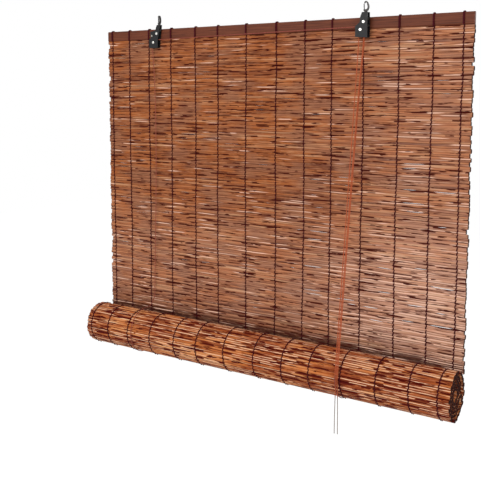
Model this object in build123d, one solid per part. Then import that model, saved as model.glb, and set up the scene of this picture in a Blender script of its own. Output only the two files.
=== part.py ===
"""Reed roll-up blind, partly rolled up, hung by two snap hooks. Millimetres, +Z up.

The blind is drawn in the rail's own frame first: X runs along the rail from its middle,
Y points away from the room (the front is -Y) and Z = 0 is the rail's top edge. Each piece
is moved to the left hook's eye when it is written, so that the eye is the origin.
"""
import math
import os
import random

from build123d import *

# Rail
BLIND_WIDTH = 900.0
RAIL_HEIGHT = 24.0
RAIL_DEPTH = 7.6
RAIL_EDGE_ROUND = 3.0

# Reed mat: parallel reeds joined by a thinner wall with see-through gaps
REED_DIAMETER = 7.2
REED_PITCH = 8.55
WALL_THICKNESS = 3.0
HANGING_REEDS = 81
END_UNEVENNESS = 3.0
GAP_COUNT = 112
GAP_HEIGHT = 1.6
GAP_SHORTEST = 18.0
GAP_LONGEST = 52.0

# Roll: the rest of the mat, wound to the front
ROLL_RADIUS = 51.0
ROLL_TURNS = 5.25
TURN_CLEARANCE = 0.3

# Warp threads: one round the rail and down both faces of the mat, at each share of the width
THREAD_SHARES = [-0.4844, -0.4244, -0.3567, -0.2833, -0.2056, -0.1367, -0.0533, 0.0322, 0.1089, 0.1789,
                 0.2567, 0.3389, 0.4144, 0.4778]
THREAD_DIAMETER = 1.6
THREAD_SEAT = 0.25
RING_SEAT = 0.35
RING_OPEN_ANGLE = 26.0
THREAD_SIDES = 6
THREAD_REST_REEDS = 3.5

# Cords
CORD_DIAMETER = 1.8
CORD_CLEARANCE = 0.4
SLACK_BEND = 30.0
TAIL_BELOW_ROLL = 60.0
STRAIGHT_BELOW_AXLE = 18.0
KNEE_RADIUS = 60.0
RUN_BELOW_AXIS = 4.0
TIE_GAP = 0.2
PULL_CORD_OFFSETS = [-3.3, -0.7]

# Pulleys: the places of their rivets, (x, z) from the rail's middle and top edge
LEFT_AXLE = (-0.33444 * BLIND_WIDTH, -31.0)
LEFT_NECK = (LEFT_AXLE[0] + 10.0, -11.0)
RIGHT_AXLE = (0.254667 * BLIND_WIDTH, -25.0)
RIGHT_NECK = (RIGHT_AXLE[0] + 6.6, -10.0)
RAIL_SEAT_GAP = 0.1
THREAD_SEAT_GAP = 0.2
PLATE_THICKNESS = 1.2
BACK_ROOM = 1.3
SHEAVE_WIDTH = 4.2
SHEAVE_GROOVE_RADIUS = 6.0
GUIDE_SHEAVE_RIM = 7.6
LOCK_SHEAVE_RIM = 6.6
SHEAVE_GAP = 0.5
SHEAVE_CHAMFER = 0.4
GROOVE_CLEARANCE = 0.05
GROOVE_MOUTH = 0.25
BRIDGE_HEIGHT = 9.0
PLATE_CORNER = 1.6
BEND_SHARE = 0.9
LEFT_TAB_HALF = 5.0
RIGHT_TAB_HALF = 6.0
RIVET_RADIUS = 2.0
RIVET_HEAD_RADIUS = 3.2
RIVET_HEAD_HEIGHT = 1.3
FIXED_FIT = 0.02
RUNNING_FIT = 0.08

# Plate corners and screws of the housings, each measured from the housing's axle rivet
LEFT_FRONT_PLATE = [(10.5, 39), (20.5, 39), (16.5, 18), (14, 8), (13, -13), (-12, -13), (-12.5, 7),
                    (-2, 13), (4.5, 22)]
LEFT_BACK_PLATE = [(10.5, 39), (20.5, 39), (16, 8), (13, -13), (-12, -13), (-14.5, 26), (10, 29)]
RIGHT_PLATE = [(2.6, 33), (14.6, 33), (15.1, 0), (15.1, -16), (-11, -14), (-11, 7), (-1.4, 14),
               (-0.9, 24)]
LEFT_SCREWS = [(-9.5, 16.0), (15.5, 27.0)]
RIGHT_SCREWS = [(11.5, 21.6), (11.5, 7.6)]

# Lock cam
CAM_CORD_CLEARANCE = 0.3
CAM_GROWTH = 0.03
CAM_HUB_RADIUS = 4.3
CAM_TOOTH_DEPTH = 0.7
CAM_TEETH = 8
CAM_TOOTH_ANGLE = 6.0
CAM_CREST_ANGLE = 5.0
CAM_SHOULDER = 1.0

# Snap hooks
HOOK_THICKNESS = 4.0
HOOK_SHANK_RADIUS = 1.6
HOOK_HEAD_RADIUS = 2.9
HOOK_HEAD_HEIGHT = 1.2
HOOK_COLLAR_RADIUS = 3.4
HOOK_COLLAR_HEIGHT = 2.2
HOOK_EYE_RADIUS = 3.0
HOOK_EYE_HEIGHT = 13.5
HOOK_BASE_HALF = 4.2
HOOK_BACK = 6.6
HOOK_NOSE_WALL = 2.2
GATE_SLOT_PLAY = 0.4
GATE_THICKNESS = 2.0
GATE_TIP_GAP = 0.35
GATE_TIP_WIDTH = 1.4
GATE_PIN_RADIUS = 0.7
GATE_BARREL_RADIUS = 1.2
LEFT_HOOK_OFFSET = 5.5
RIGHT_HOOK_OFFSET = 2.0
LEFT_HOOK_TURN = -25.0
RIGHT_HOOK_TURN = 0.0

# Screws
SCREW_RADIUS = 1.4
SCREW_LENGTH = 5.5
SCREW_HEAD_RADIUS = 2.3
SCREW_HEAD_HEIGHT = 0.9
TIE_SCREW_Z = -10.0
TIE_HEAD_RADIUS = 3.4
TIE_HEAD_HEIGHT = 1.5

# Sizes that follow
REED_RADIUS = REED_DIAMETER / 2
THREAD_RADIUS = THREAD_DIAMETER / 2
THREAD_PLACES = [share * BLIND_WIDTH for share in THREAD_SHARES]
CORD_RADIUS = CORD_DIAMETER / 2
MAT_TOP = -RAIL_HEIGHT - TURN_CLEARANCE
ROLL_Z = MAT_TOP - HANGING_REEDS * REED_PITCH
ROLL_Y = -(ROLL_RADIUS - REED_RADIUS)
LOOP_RADIUS = ROLL_RADIUS + CORD_CLEARANCE + CORD_RADIUS
BACK_CORD_Y = ROLL_Y + LOOP_RADIUS
THREAD_Y = RAIL_DEPTH / 2 + THREAD_SEAT + THREAD_RADIUS
SHEAVE_PITCH = SHEAVE_WIDTH + SHEAVE_GAP
LEFT_SEAT_Y = -RAIL_DEPTH / 2 - RAIL_SEAT_GAP
RIGHT_SEAT_Y = -THREAD_Y - THREAD_RADIUS - THREAD_SEAT_GAP
LEFT_SHEAVE_Y = LEFT_SEAT_Y - PLATE_THICKNESS - BACK_ROOM - SHEAVE_WIDTH / 2
RIGHT_BACK_SHEAVE_Y = RIGHT_SEAT_Y - PLATE_THICKNESS - BACK_ROOM - SHEAVE_WIDTH / 2
RIGHT_FRONT_SHEAVE_Y = RIGHT_BACK_SHEAVE_Y - SHEAVE_PITCH
LEFT_LEG_X = LEFT_AXLE[0] - SHEAVE_GROOVE_RADIUS
RIGHT_LEG_X = RIGHT_AXLE[0] - SHEAVE_GROOVE_RADIUS
PULL_EXIT_X = RIGHT_AXLE[0] + SHEAVE_GROOVE_RADIUS
LEFT_INSIDE = BACK_ROOM + SHEAVE_WIDTH + SHEAVE_GAP
RIGHT_INSIDE = BACK_ROOM + SHEAVE_WIDTH + SHEAVE_PITCH + SHEAVE_GAP
LEFT_HOOK_X = LEFT_NECK[0] + LEFT_HOOK_OFFSET
RIGHT_HOOK_X = RIGHT_NECK[0] + RIGHT_HOOK_OFFSET
LEFT_HOOK_Y = LEFT_SEAT_Y - PLATE_THICKNESS - LEFT_INSIDE / 2
RIGHT_HOOK_Y = RIGHT_SEAT_Y - PLATE_THICKNESS - RIGHT_INSIDE / 2
HOOK_BASE_Z = BRIDGE_HEIGHT + RAIL_SEAT_GAP
EYE_Z = HOOK_BASE_Z + HOOK_COLLAR_HEIGHT + HOOK_EYE_HEIGHT
ORIGIN = (LEFT_HOOK_X, LEFT_HOOK_Y, EYE_Z)

WRITTEN = []


def save(name, shape):
    """Move a finished piece into the blind's frame and write it as its own file."""
    moved = Pos(-ORIGIN[0], -ORIGIN[1], -ORIGIN[2]) * shape
    export_step(moved, os.path.join("parts", name + ".step"))
    WRITTEN.append((name, moved.volume))


def slab(face, back_y, thickness):
    """Extrude an X-Z face forwards (towards -Y) from the plane y = back_y."""
    return extrude(Plane.XZ.offset(-back_y) * face, thickness)


def outline(pieces):
    """A face inside lines and arcs that meet end to end."""
    return make_face(Wire([edge for piece in pieces for edge in piece.edges()]))


def rod(x, z, back_y, length, radius):
    """A round rod along Y from y = back_y forwards."""
    return slab(Pos(x, z) * Circle(radius), back_y, length)


def along(path, section, name):
    """Sweep a section along a path and print how long and how full the result is."""
    shape = sweep(Plane(origin=path @ 0, z_dir=path % 0) * section, path=path)
    share = shape.volume / (section.area * path.length)
    print(f"{name}: length {path.length:.1f}, volume share {share:.4f}")
    return shape


def cord_through(points, radii, name):
    """A cord along straight runs joined by tangent arcs of the given radii."""
    print(f"{name}: bend radii {radii}")
    return along(FilletPolyline(*points, radius=radii), Circle(CORD_RADIUS), name)


def cord_along(edges, name):
    """A cord along edges that meet tangentially."""
    return along(Wire(edges), Circle(CORD_RADIUS), name)


def thread_section():
    """A thread's section, six-sided because it is only a millimetre and a half thick."""
    return RegularPolygon(THREAD_RADIUS, THREAD_SIDES)


# A band of reeds: used straight for the hanging mat and wound for the roll
def band_face(stations, half_wall):
    """Outline of a chain of reeds: round bumps on both sides, joined by a thin wall.

    Each station is (y, z, angle), the reed's centre and the direction of the chain.
    """
    reach = math.sqrt(REED_RADIUS ** 2 - half_wall ** 2)

    def local(station, along, across):
        y, z, angle = station
        c, s = math.cos(angle), math.sin(angle)
        return (y + along * c - across * s, z + along * s + across * c)

    edges = []
    for side, chain in ((1, stations), (-1, stations[::-1])):
        for index, station in enumerate(chain):
            entry = local(station, -side * reach, side * half_wall)
            crown = local(station, 0, side * REED_RADIUS)
            leave = local(station, side * reach, side * half_wall)
            edges.append(ThreePointArc(entry, crown, leave))
            if index + 1 < len(chain):
                after = local(chain[index + 1], -side * reach, side * half_wall)
                edges.append(Line(leave, after))
            else:
                tip = local(station, side * REED_RADIUS, 0)
                back = local(station, side * reach, -side * half_wall)
                edges.append(ThreePointArc(leave, tip, back))
    return outline(edges)


def staircase(side, heights, chance):
    """A flat cutter that leaves the reeds' ends uneven along one edge of the mat."""
    edge = side * BLIND_WIDTH / 2
    outside = edge + side * 10
    points = [(outside, heights[0])]
    for top in heights:
        depth = chance.uniform(0, END_UNEVENNESS) + (END_UNEVENNESS if chance.random() < 0.1 else 0)
        points.append((edge - side * depth, top))
        points.append((edge - side * depth, top - REED_PITCH))
    points.append((outside, heights[-1] - REED_PITCH))
    return make_face(Polyline(*points, close=True))


def build_mat():
    """The hanging part of the mat, one ridged wall with uneven edges and gaps."""
    chance = random.Random(7)
    first = MAT_TOP - REED_RADIUS
    stations = [(0, first - i * REED_PITCH, -math.pi / 2) for i in range(HANGING_REEDS)]
    profile = band_face(stations, WALL_THICKNESS / 2)
    mat = extrude(Plane.YZ.offset(-BLIND_WIDTH / 2) * profile, BLIND_WIDTH)
    tops = [MAT_TOP + REED_PITCH / 2 - REED_RADIUS - i * REED_PITCH for i in range(HANGING_REEDS)]
    depth = REED_DIAMETER * 2
    cutters = [slab(staircase(side, tops, chance), depth / 2, depth) for side in (-1, 1)]
    seen = set()
    while len(seen) < GAP_COUNT:
        row = chance.randrange(HANGING_REEDS - 1)
        bay = chance.randrange(len(THREAD_PLACES) - 1)
        seen.add((row, bay))
    for row, bay in sorted(seen):
        room = THREAD_PLACES[bay + 1] - THREAD_PLACES[bay] - 2 * THREAD_DIAMETER
        length = min(chance.uniform(GAP_SHORTEST, GAP_LONGEST), room)
        start = THREAD_PLACES[bay] + THREAD_DIAMETER + chance.random() * (room - length)
        z = first - (row + 0.5) * REED_PITCH
        cutters.append(Pos(start + length / 2, 0, z) * Box(length, depth, GAP_HEIGHT))
    return mat - cutters


def spiral_centres():
    """Four centres of the winding's quarter arcs and the step of the radius."""
    step = (REED_DIAMETER + TURN_CLEARANCE) / 4
    corners = [(0, 0), (0, -step), (-step, -step), (-step, 0)]
    return [(ROLL_Y + y, ROLL_Z + z) for y, z in corners], step


def spiral_stations():
    """Reed centres along the winding, one pitch apart along its middle line."""
    centres, step = spiral_centres()
    quarters = int(round(ROLL_TURNS * 4))
    stations = []
    travel = REED_PITCH / 2
    for quarter in range(quarters):
        radius = ROLL_RADIUS - REED_RADIUS - quarter * step
        length = radius * math.pi / 2
        y0, z0 = centres[quarter % 4]
        while travel < length:
            angle = -quarter * math.pi / 2 - travel / radius
            y = y0 + radius * math.cos(angle)
            z = z0 + radius * math.sin(angle)
            stations.append((y, z, angle - math.pi / 2))
            travel += REED_PITCH
        travel -= length
    return stations


def build_roll():
    """All turns of the rolled-up mat as one solid."""
    profile = band_face(spiral_stations(), WALL_THICKNESS / 2)
    return extrude(Plane.YZ.offset(-BLIND_WIDTH / 2) * profile, BLIND_WIDTH)


def build_rail(holes):
    """The top batten with rounded long edges and the screws' pilot holes."""
    section = Pos(0, -RAIL_HEIGHT / 2) * RectangleRounded(RAIL_DEPTH, RAIL_HEIGHT, RAIL_EDGE_ROUND)
    rail = extrude(Plane.YZ.offset(-BLIND_WIDTH / 2) * section, BLIND_WIDTH)
    for x, z, back_y, length, radius in holes:
        rail -= rod(x, z, back_y, length, radius + FIXED_FIT)
    return rail


def build_warp(x, name):
    """A warp thread: up the mat's back, over the rail and down its front."""
    crown = THREAD_SEAT + THREAD_RADIUS
    bottom = ROLL_Z + TURN_CLEARANCE
    points = [(x, THREAD_Y, bottom), (x, THREAD_Y, crown), (x, -THREAD_Y, crown)]
    points.append((x, -THREAD_Y, bottom + REED_PITCH * THREAD_REST_REEDS))
    bend = RAIL_EDGE_ROUND + crown
    return along(FilletPolyline(*points, radius=[bend, bend]), thread_section(), name)


def build_ring(x, name):
    """The same thread where it runs round the roll's outer turn."""
    centres, step = spiral_centres()
    edges = []
    for quarter in range(4):
        radius = ROLL_RADIUS - quarter * step + RING_SEAT + THREAD_RADIUS
        sweep_angle = 90.0 if quarter < 3 else 90.0 - RING_OPEN_ANGLE
        start = -90.0 * quarter
        y0, z0 = centres[quarter]
        arc = [math.radians(start - sweep_angle * part) for part in (0, 0.5, 1)]
        spots = [(x, y0 + radius * math.cos(a), z0 + radius * math.sin(a)) for a in arc]
        edges.append(ThreePointArc(*spots))
    return along(Wire(edges), thread_section(), name)


# Pulleys
def rounded_plate(corners, axle):
    """A flat plate outline with every corner rounded."""
    points = [(axle[0] + dx, axle[1] + dz) for dx, dz in corners]
    face = make_face(Polyline(*points, close=True))
    return fillet(face.vertices(), PLATE_CORNER)


def build_housing(front, back, inside, seat_y, holes, hook, screws):
    """A strip folded over the top: back leg on the rail, front leg over the sheaves."""
    thickness = PLATE_THICKNESS
    back_leg = slab(back, seat_y, thickness)
    front_leg = slab(front, seat_y - thickness - inside, thickness)
    left, right = hook[0] - hook[1], hook[0] + hook[1]
    depth = inside + 2 * thickness
    strap = Pos((left + right) / 2, seat_y - depth / 2, BRIDGE_HEIGHT - thickness)
    outer = strap * Box(right - left, depth, 2 * thickness)
    outer = fillet(outer.edges().filter_by(Axis.X).group_by(Axis.Z)[-1], thickness * BEND_SHARE)
    lower = Pos((left + right) / 2, seat_y - depth / 2, BRIDGE_HEIGHT - 2 * thickness)
    bridge = outer - lower * Box(right - left, inside, 2 * thickness)
    housing = back_leg + front_leg + bridge
    for x, z in holes:
        housing -= rod(x, z, seat_y + 1, depth + 2, RIVET_RADIUS + FIXED_FIT)
    for x, z in screws:
        housing -= rod(x, z, seat_y + 1, thickness + 2, SCREW_RADIUS + FIXED_FIT)
    hole = Pos(hook[0], seat_y - depth / 2, BRIDGE_HEIGHT)
    housing -= hole * Cylinder(HOOK_SHANK_RADIUS + RUNNING_FIT, 4 * thickness)
    return housing


def build_sheave(place, middle_y, rim):
    """A grooved wheel turned in one piece, with its bore for the axle rivet."""
    floor = SHEAVE_GROOVE_RADIUS - CORD_RADIUS - GROOVE_CLEARANCE
    half = SHEAVE_WIDTH / 2
    groove = CORD_RADIUS + GROOVE_MOUTH
    bore = RIVET_RADIUS + RUNNING_FIT
    edge = SHEAVE_CHAMFER
    right_side = [(bore, half), (rim - edge, half), (rim, half - edge), (rim, groove)]
    left_side = [(rim, -groove), (rim, edge - half), (rim - edge, -half), (bore, -half)]
    cut = ThreePointArc(right_side[-1], (floor, 0), left_side[0])
    sides = [Polyline(*right_side), cut, Polyline(*left_side), Line(left_side[-1], right_side[0])]
    profile = outline(sides)
    wheel = revolve(Plane.XY * profile, Axis.Y)
    return Pos(place[0], middle_y, place[1]) * wheel


def build_rivet(place, seat_y, inside):
    """A rivet through both legs: flush at the back, a domed head in front."""
    length = inside + 2 * PLATE_THICKNESS
    shank = rod(place[0], place[1], seat_y, length, RIVET_RADIUS)
    head = rod(place[0], place[1], seat_y - length, RIVET_HEAD_HEIGHT, RIVET_HEAD_RADIUS)
    rim = head.edges().filter_by(GeomType.CIRCLE).group_by(Axis.Y)[0]
    return shank + fillet(rim, RIVET_HEAD_HEIGHT * 0.85)


def build_screws(places, seat_y):
    """Wood screws of a pulley: heads inside the housing, shanks in the rail."""
    screws = []
    for x, z in places:
        shank = rod(x, z, seat_y + SCREW_LENGTH, SCREW_LENGTH + PLATE_THICKNESS, SCREW_RADIUS)
        head = rod(x, z, seat_y - PLATE_THICKNESS, SCREW_HEAD_HEIGHT, SCREW_HEAD_RADIUS)
        slot = Pos(x, seat_y - PLATE_THICKNESS - SCREW_HEAD_HEIGHT, z)
        screws.append(shank + head - slot * Box(SCREW_HEAD_RADIUS * 2, 0.8, 0.7))
    return Compound(screws)


def build_tie_screw(x):
    """The screw behind the rail that the lift cord is tied to."""
    back = RAIL_DEPTH / 2
    head_y = BACK_CORD_Y + CORD_RADIUS + TIE_HEAD_HEIGHT
    head = rod(x, TIE_SCREW_Z, head_y, TIE_HEAD_HEIGHT, TIE_HEAD_RADIUS)
    shank = rod(x, TIE_SCREW_Z, head_y, head_y - back + SCREW_LENGTH, SCREW_RADIUS)
    wrap = rod(x, TIE_SCREW_Z, BACK_CORD_Y + CORD_RADIUS, CORD_DIAMETER, SCREW_RADIUS + CORD_RADIUS)
    return head + shank + wrap


def build_cam():
    """The lock cam: a toothed toe that grows towards its heel, on the neck rivet."""
    dx = RIGHT_AXLE[0] - RIGHT_NECK[0]
    dz = RIGHT_AXLE[1] - RIGHT_NECK[1]
    aim = math.degrees(math.atan2(dz, dx))
    near = math.hypot(dx, dz) - SHEAVE_GROOVE_RADIUS - CORD_RADIUS - CAM_CORD_CLEARANCE

    def spot(turn, inset=0.0):
        reach = near + CAM_GROWTH * turn - inset
        angle = math.radians(aim + turn)
        return (reach * math.cos(angle), reach * math.sin(angle))

    half_span = CAM_TEETH * CAM_TOOTH_ANGLE / 2
    edge = []
    for index in range(CAM_TEETH):
        turn = index * CAM_TOOTH_ANGLE - half_span
        edge.append(spot(turn, CAM_TOOTH_DEPTH))
        edge.append(spot(turn + CAM_CREST_ANGLE))
    first = spot(-half_span - CAM_TOOTH_ANGLE, CAM_SHOULDER)
    last = spot(half_span + CAM_TOOTH_ANGLE / 2, CAM_SHOULDER)
    points = [(0, 0), first] + edge + [last]
    toe = make_face(Polyline(*points, close=True)) + Circle(CAM_HUB_RADIUS)
    toe -= Circle(RIVET_RADIUS + RUNNING_FIT)
    back_y = RIGHT_SEAT_Y - PLATE_THICKNESS - BACK_ROOM
    return slab(Pos(*RIGHT_NECK) * toe, back_y, RIGHT_INSIDE - BACK_ROOM - SHEAVE_GAP)


# Snap hooks
def hook_outline():
    """The hook's spine: thick on the right, ending in a blunt nose at the top left."""
    r = HOOK_EYE_RADIUS
    outer = r + HOOK_NOSE_WALL
    base = -HOOK_EYE_HEIGHT
    half = HOOK_BASE_HALF
    waist = (HOOK_BACK - 0.2, base + 4.5)
    body = Polyline((-half, base), (half, base), waist)
    spine = Spline(waist, (HOOK_BACK, -3.0), (outer * 0.71, outer * 0.71), (0.0, outer + 0.6),
                   tangents=[(0.4, 1.0), (-1.0, 0.25)])
    nose = Polyline((0.0, outer + 0.6), (-2.6, outer - 1.0), (-r * 0.966, r * 0.26))
    crown = ThreePointArc((-r * 0.966, r * 0.26), (0.0, r), (r, 0.0))
    inner = Spline((r, 0.0), (4.1, -4.5), (2.2, base + 3.4), tangents=[(0.1, -1.0), (-1.0, -0.5)])
    floor = Polyline((2.2, base + 3.4), (-2.0, base + 2.9), (-half - 0.4, base + 2.9), (-half, base))
    return outline([body, spine, nose, crown, inner, floor])


GATE_PIVOT = (-3.1, -HOOK_EYE_HEIGHT + 1.45)


def build_hook(x, y, turn):
    """A cast snap hook on a round shank that swivels in the housing's bridge."""
    body = extrude(Plane.XZ.offset(-HOOK_THICKNESS / 2) * hook_outline(), HOOK_THICKNESS)
    slot = Pos(GATE_PIVOT[0] - 1.0, 0, GATE_PIVOT[1] + 0.6)
    body -= slot * Box(5.4, GATE_THICKNESS + GATE_SLOT_PLAY, 4.3)
    pin = Pos(GATE_PIVOT[0], 0, GATE_PIVOT[1]) * Rot(90, 0, 0)
    body -= pin * Cylinder(GATE_PIN_RADIUS + RUNNING_FIT, HOOK_THICKNESS * 2)
    base = -HOOK_EYE_HEIGHT - HOOK_COLLAR_HEIGHT
    collar = Pos(0, 0, base + HOOK_COLLAR_HEIGHT / 2)
    body += collar * Cylinder(HOOK_COLLAR_RADIUS, HOOK_COLLAR_HEIGHT)
    shank_length = PLATE_THICKNESS + 0.3
    body += Pos(0, 0, base - shank_length / 2) * Cylinder(HOOK_SHANK_RADIUS, shank_length)
    head = Pos(0, 0, base - shank_length - HOOK_HEAD_HEIGHT / 2)
    body += head * Cylinder(HOOK_HEAD_RADIUS, HOOK_HEAD_HEIGHT)
    return Pos(x, y, EYE_Z) * Rot(0, 0, turn) * body


def build_gate(x, y, turn):
    """The sprung gate that closes the hook from its base to the nose."""
    px, pz = GATE_PIVOT
    r = HOOK_EYE_RADIUS
    top = (-r * 0.966 - 1.05, r * 0.26 - GATE_TIP_GAP)
    half = GATE_TIP_WIDTH / 2
    blade = make_face(Polyline((px - 0.9, pz + 0.3), (px + 0.5, pz + 0.3), (top[0] + 1.0, top[1] - 2.4),
                               (top[0] + half, top[1]), (top[0] - half, top[1]), close=True))
    leaf = blade + Pos(px, pz) * Circle(GATE_BARREL_RADIUS)
    gate = extrude(Plane.XZ.offset(-GATE_THICKNESS / 2) * leaf, GATE_THICKNESS)
    pin = Pos(px, 0, pz) * Rot(90, 0, 0) * Cylinder(GATE_PIN_RADIUS, HOOK_THICKNESS)
    return Pos(x, y, EYE_Z) * Rot(0, 0, turn) * (gate + pin)


# Cords
def around(angle, x):
    """A point of the cord's loop round the roll, by its angle from the back."""
    a = math.radians(angle)
    return (x, ROLL_Y + LOOP_RADIUS * math.cos(a), ROLL_Z + LOOP_RADIUS * math.sin(a))


def sheave_spot(place, y, angle):
    """A point of the cord on a sheave: angle 0 is its right side, 90 its top."""
    a = math.radians(angle)
    r = SHEAVE_GROOVE_RADIUS
    return (place[0] + r * math.cos(a), y, place[1] + r * math.sin(a))


def lean_tangent(y, z):
    """Angle on the loop's circle where a straight cord from (y, z) touches its front."""
    away = math.hypot(y - ROLL_Y, z - ROLL_Z)
    towards = math.degrees(math.atan2(z - ROLL_Z, y - ROLL_Y))
    return towards + math.degrees(math.acos(LOOP_RADIUS / away))


def build_cords():
    """Every stretch of the two lift cords and of the pull ends that they become."""
    tie_end = TIE_SCREW_Z - TIE_HEAD_RADIUS - TIE_GAP
    cords = {}
    for side, x in (("left", LEFT_LEG_X), ("right", RIGHT_LEG_X)):
        ends = [(x, BACK_CORD_Y, tie_end), (x, BACK_CORD_Y, ROLL_Z)]
        cords[side + "_cord_back_leg"] = cord_along([Line(*ends)], side + " back leg")

    bend_y = LEFT_SHEAVE_Y - SLACK_BEND
    bend_z = ROLL_Z + math.sqrt((LOOP_RADIUS + SLACK_BEND) ** 2 - (bend_y - ROLL_Y) ** 2)
    meet = math.degrees(math.atan2(bend_z - ROLL_Z, bend_y - ROLL_Y))
    corner = math.radians((meet - 180) / 2)
    x = LEFT_LEG_X
    small = [(x, LEFT_SHEAVE_Y, bend_z)]
    small.append((x, bend_y + SLACK_BEND * math.cos(corner), bend_z + SLACK_BEND * math.sin(corner)))
    small.append(around(meet, x))
    over = [around(meet, x), around((meet + 180) / 2, x), around(180, x)]
    under = [around(180, x), around(270, x), around(360, x)]
    loop = [ThreePointArc(*small), ThreePointArc(*over), ThreePointArc(*under)]
    cords["left_cord_loop"] = cord_along(loop, "left loop")
    left_low = sheave_spot(LEFT_AXLE, LEFT_SHEAVE_Y, 180)
    cords["left_cord_front_leg"] = cord_along([Line(left_low, small[0])], "left front leg")

    left_top = sheave_spot(LEFT_AXLE, LEFT_SHEAVE_Y, 90)
    left_mid = sheave_spot(LEFT_AXLE, LEFT_SHEAVE_Y, 135)
    right_y = RIGHT_FRONT_SHEAVE_Y
    right_top = sheave_spot(RIGHT_AXLE, right_y, 90)
    right_mid = sheave_spot(RIGHT_AXLE, right_y, 45)
    right_out = sheave_spot(RIGHT_AXLE, right_y, 0)
    across = [ThreePointArc(left_low, left_mid, left_top), Line(left_top, right_top),
              ThreePointArc(right_top, right_mid, right_out)]
    cords["cord_across"] = cord_along(across, "across")

    back_y = RIGHT_BACK_SHEAVE_Y
    bend = [sheave_spot(RIGHT_AXLE, back_y, a) for a in (180, 90, 0)]
    cords["right_cord_bend"] = cord_along([ThreePointArc(*bend)], "right bend")
    knee_z = RIGHT_AXLE[1] - STRAIGHT_BELOW_AXLE
    touch = lean_tangent(back_y, knee_z)
    x = RIGHT_LEG_X
    leg = [bend[0], (x, back_y, knee_z), around(touch, x)]
    cords["right_cord_front_leg"] = cord_through(leg, [KNEE_RADIUS], "right front leg")
    loop = [ThreePointArc(around(touch, x), around((touch + 360) / 2, x), around(360, x))]
    cords["right_cord_loop"] = cord_along(loop, "right loop")

    tail_end = ROLL_Z - ROLL_RADIUS - TAIL_BELOW_ROLL
    for name, y, offset in zip(("left", "right"), (right_y, back_y), PULL_CORD_OFFSETS):
        x = RIGHT_AXLE[0] + offset
        touch = lean_tangent(y, knee_z)
        rise = LOOP_RADIUS * math.tan(math.radians((180 - touch) / 2))
        start = (PULL_EXIT_X, y, RIGHT_AXLE[1])
        corner_spot = (x, ROLL_Y - LOOP_RADIUS, ROLL_Z + rise)
        end = (x, ROLL_Y - LOOP_RADIUS, ROLL_Z - RUN_BELOW_AXIS)
        route = [start, (PULL_EXIT_X, y, knee_z), corner_spot, end]
        run = cord_through(route, [KNEE_RADIUS, LOOP_RADIUS], name + " pull run")
        cords[name + "_pull_cord_run"] = run
        tail = [(end[0], end[1], end[2]), (x, end[1], tail_end)]
        cords[name + "_pull_cord_end"] = cord_along([Line(*tail)], name + " pull end")
    return cords


def build_pulleys():
    """Both pulleys with their sheaves, rivets, screws, cam and hooks."""
    pieces = {}
    front = rounded_plate(LEFT_FRONT_PLATE, LEFT_AXLE)
    back = rounded_plate(LEFT_BACK_PLATE, LEFT_AXLE)
    screws = [(LEFT_AXLE[0] + dx, LEFT_AXLE[1] + dz) for dx, dz in LEFT_SCREWS]
    pieces["left_pulley_housing"] = build_housing(front, back, LEFT_INSIDE, LEFT_SEAT_Y,
                                                  [LEFT_AXLE, LEFT_NECK], (LEFT_HOOK_X, LEFT_TAB_HALF),
                                                  screws)
    pieces["left_sheave"] = build_sheave(LEFT_AXLE, LEFT_SHEAVE_Y, GUIDE_SHEAVE_RIM)
    pieces["left_axle_rivet"] = build_rivet(LEFT_AXLE, LEFT_SEAT_Y, LEFT_INSIDE)
    pieces["left_neck_rivet"] = build_rivet(LEFT_NECK, LEFT_SEAT_Y, LEFT_INSIDE)
    pieces["left_pulley_screws"] = build_screws(screws, LEFT_SEAT_Y)
    rail_screws = [(x, z, LEFT_SEAT_Y) for x, z in screws]

    plate = rounded_plate(RIGHT_PLATE, RIGHT_AXLE)
    screws = [(RIGHT_AXLE[0] + dx, RIGHT_AXLE[1] + dz) for dx, dz in RIGHT_SCREWS]
    pieces["right_pulley_housing"] = build_housing(plate, plate, RIGHT_INSIDE, RIGHT_SEAT_Y,
                                                   [RIGHT_AXLE, RIGHT_NECK],
                                                   (RIGHT_HOOK_X, RIGHT_TAB_HALF), screws)
    places = (("right_back_sheave", RIGHT_BACK_SHEAVE_Y), ("right_front_sheave", RIGHT_FRONT_SHEAVE_Y))
    for name, y in places:
        pieces[name] = build_sheave(RIGHT_AXLE, y, LOCK_SHEAVE_RIM)
    pieces["right_axle_rivet"] = build_rivet(RIGHT_AXLE, RIGHT_SEAT_Y, RIGHT_INSIDE)
    pieces["right_cam_rivet"] = build_rivet(RIGHT_NECK, RIGHT_SEAT_Y, RIGHT_INSIDE)
    pieces["right_lock_cam"] = build_cam()
    pieces["right_pulley_screws"] = build_screws(screws, RIGHT_SEAT_Y)
    rail_screws += [(x, z, RIGHT_SEAT_Y) for x, z in screws]

    for side, x, y, turn in (("left", LEFT_HOOK_X, LEFT_HOOK_Y, LEFT_HOOK_TURN),
                             ("right", RIGHT_HOOK_X, RIGHT_HOOK_Y, RIGHT_HOOK_TURN)):
        pieces[side + "_snap_hook"] = build_hook(x, y, turn)
        pieces[side + "_hook_gate"] = build_gate(x, y, turn)
    return pieces, rail_screws


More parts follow.
